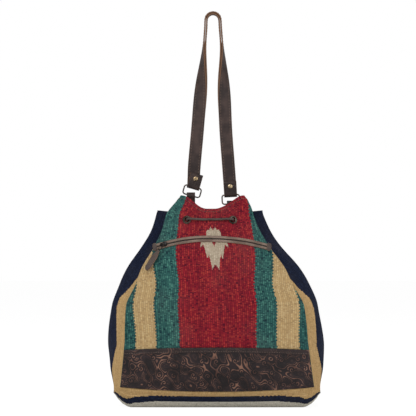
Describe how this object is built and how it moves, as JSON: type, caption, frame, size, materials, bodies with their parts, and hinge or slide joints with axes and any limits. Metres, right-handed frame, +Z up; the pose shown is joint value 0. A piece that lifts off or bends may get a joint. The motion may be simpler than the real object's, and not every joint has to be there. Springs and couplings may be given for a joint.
{
  "type": "drawstring bucket bag",
  "caption": "Flat-woven striped bucket bag gathered at the mouth by a lace, with a tooled leather band, a zip pocket and a ring-mounted shoulder strap.",
  "frame": {"origin": "middle of the base's underside, on the surface that the bag stands on", "axes": "+Z up along the strap, +X to the right in front view, the front with the zip pocket faces -Y"},
  "size_m": [0.3297, 0.1748, 0.6117],
  "materials": {
    "woven_cloth": "flat-woven wool and cotton stripes: red, green, cream, beige, navy and off-white",
    "tooled_leather": "dark brown leather tooled with a scroll pattern, ridges rubbed to copper",
    "strap_leather": "dark brown leather with a paler cut edge",
    "taupe_leather": "thin taupe leather",
    "lace_leather": "round leather lace",
    "pocket_cotton": "plain undyed cotton",
    "base_board": "grey stiffening board",
    "zip_black": "black coil zip and slider",
    "dark_metal": "dark antiqued metal",
    "aged_brass": "aged brass"
  },
  "bodies": {
    "bag": {"front_panel": "woven_cloth", "back_panel": "woven_cloth", "side_base_gusset": "woven_cloth", "front_leather_band": "tooled_leather", "back_leather_band": "tooled_leather", "base_board": "base_board", "zip_pocket_bag": "pocket_cotton", "zip_teeth": "zip_black", "upper_zip_binding": "taupe_leather", "lower_zip_binding": "taupe_leather", "left_zip_tab": "taupe_leather", "right_zip_tab": "taupe_leather", "front_left_eyelet": "dark_metal", "front_right_eyelet": "dark_metal", "back_left_eyelet": "dark_metal", "back_right_eyelet": "dark_metal", "drawstring": "lace_leather", "drawstring_knot": "lace_leather", "left_ring_tab": "strap_leather", "right_ring_tab": "strap_leather"},
    "slider": {"zip_slider": "zip_black"},
    "pull": {"zip_pull": "strap_leather", "zip_pull_link": "dark_metal"},
    "strap": {"strap_face": "strap_leather", "strap_backing": "strap_leather", "left_ring": "dark_metal", "right_ring": "dark_metal", "left_rivet": "aged_brass", "right_rivet": "aged_brass"}
  },
  "joints": [
    {"name": "strap_swing", "type": "hinge", "parent": "bag", "child": "strap", "pos_m": [-0.00934, 0.027, 0.31839], "axis": [0.9794, 0, -0.2021], "range_deg": [-85, 70]},
    {"name": "zip_travel", "type": "hinge", "parent": "bag", "child": "slider", "pos_m": [-0.00823, 0.07462, 0.10576], "axis": [-0.0003, 0.7492, 0.6624], "range_deg": [0, 41]},
    {"name": "pull_swing", "type": "hinge", "parent": "slider", "child": "pull", "pos_m": [-0.08292, -0.05663, 0.25111], "axis": [-0.7974, 0.4425, 0.4103], "range_deg": [0, 140]}
  ]
}
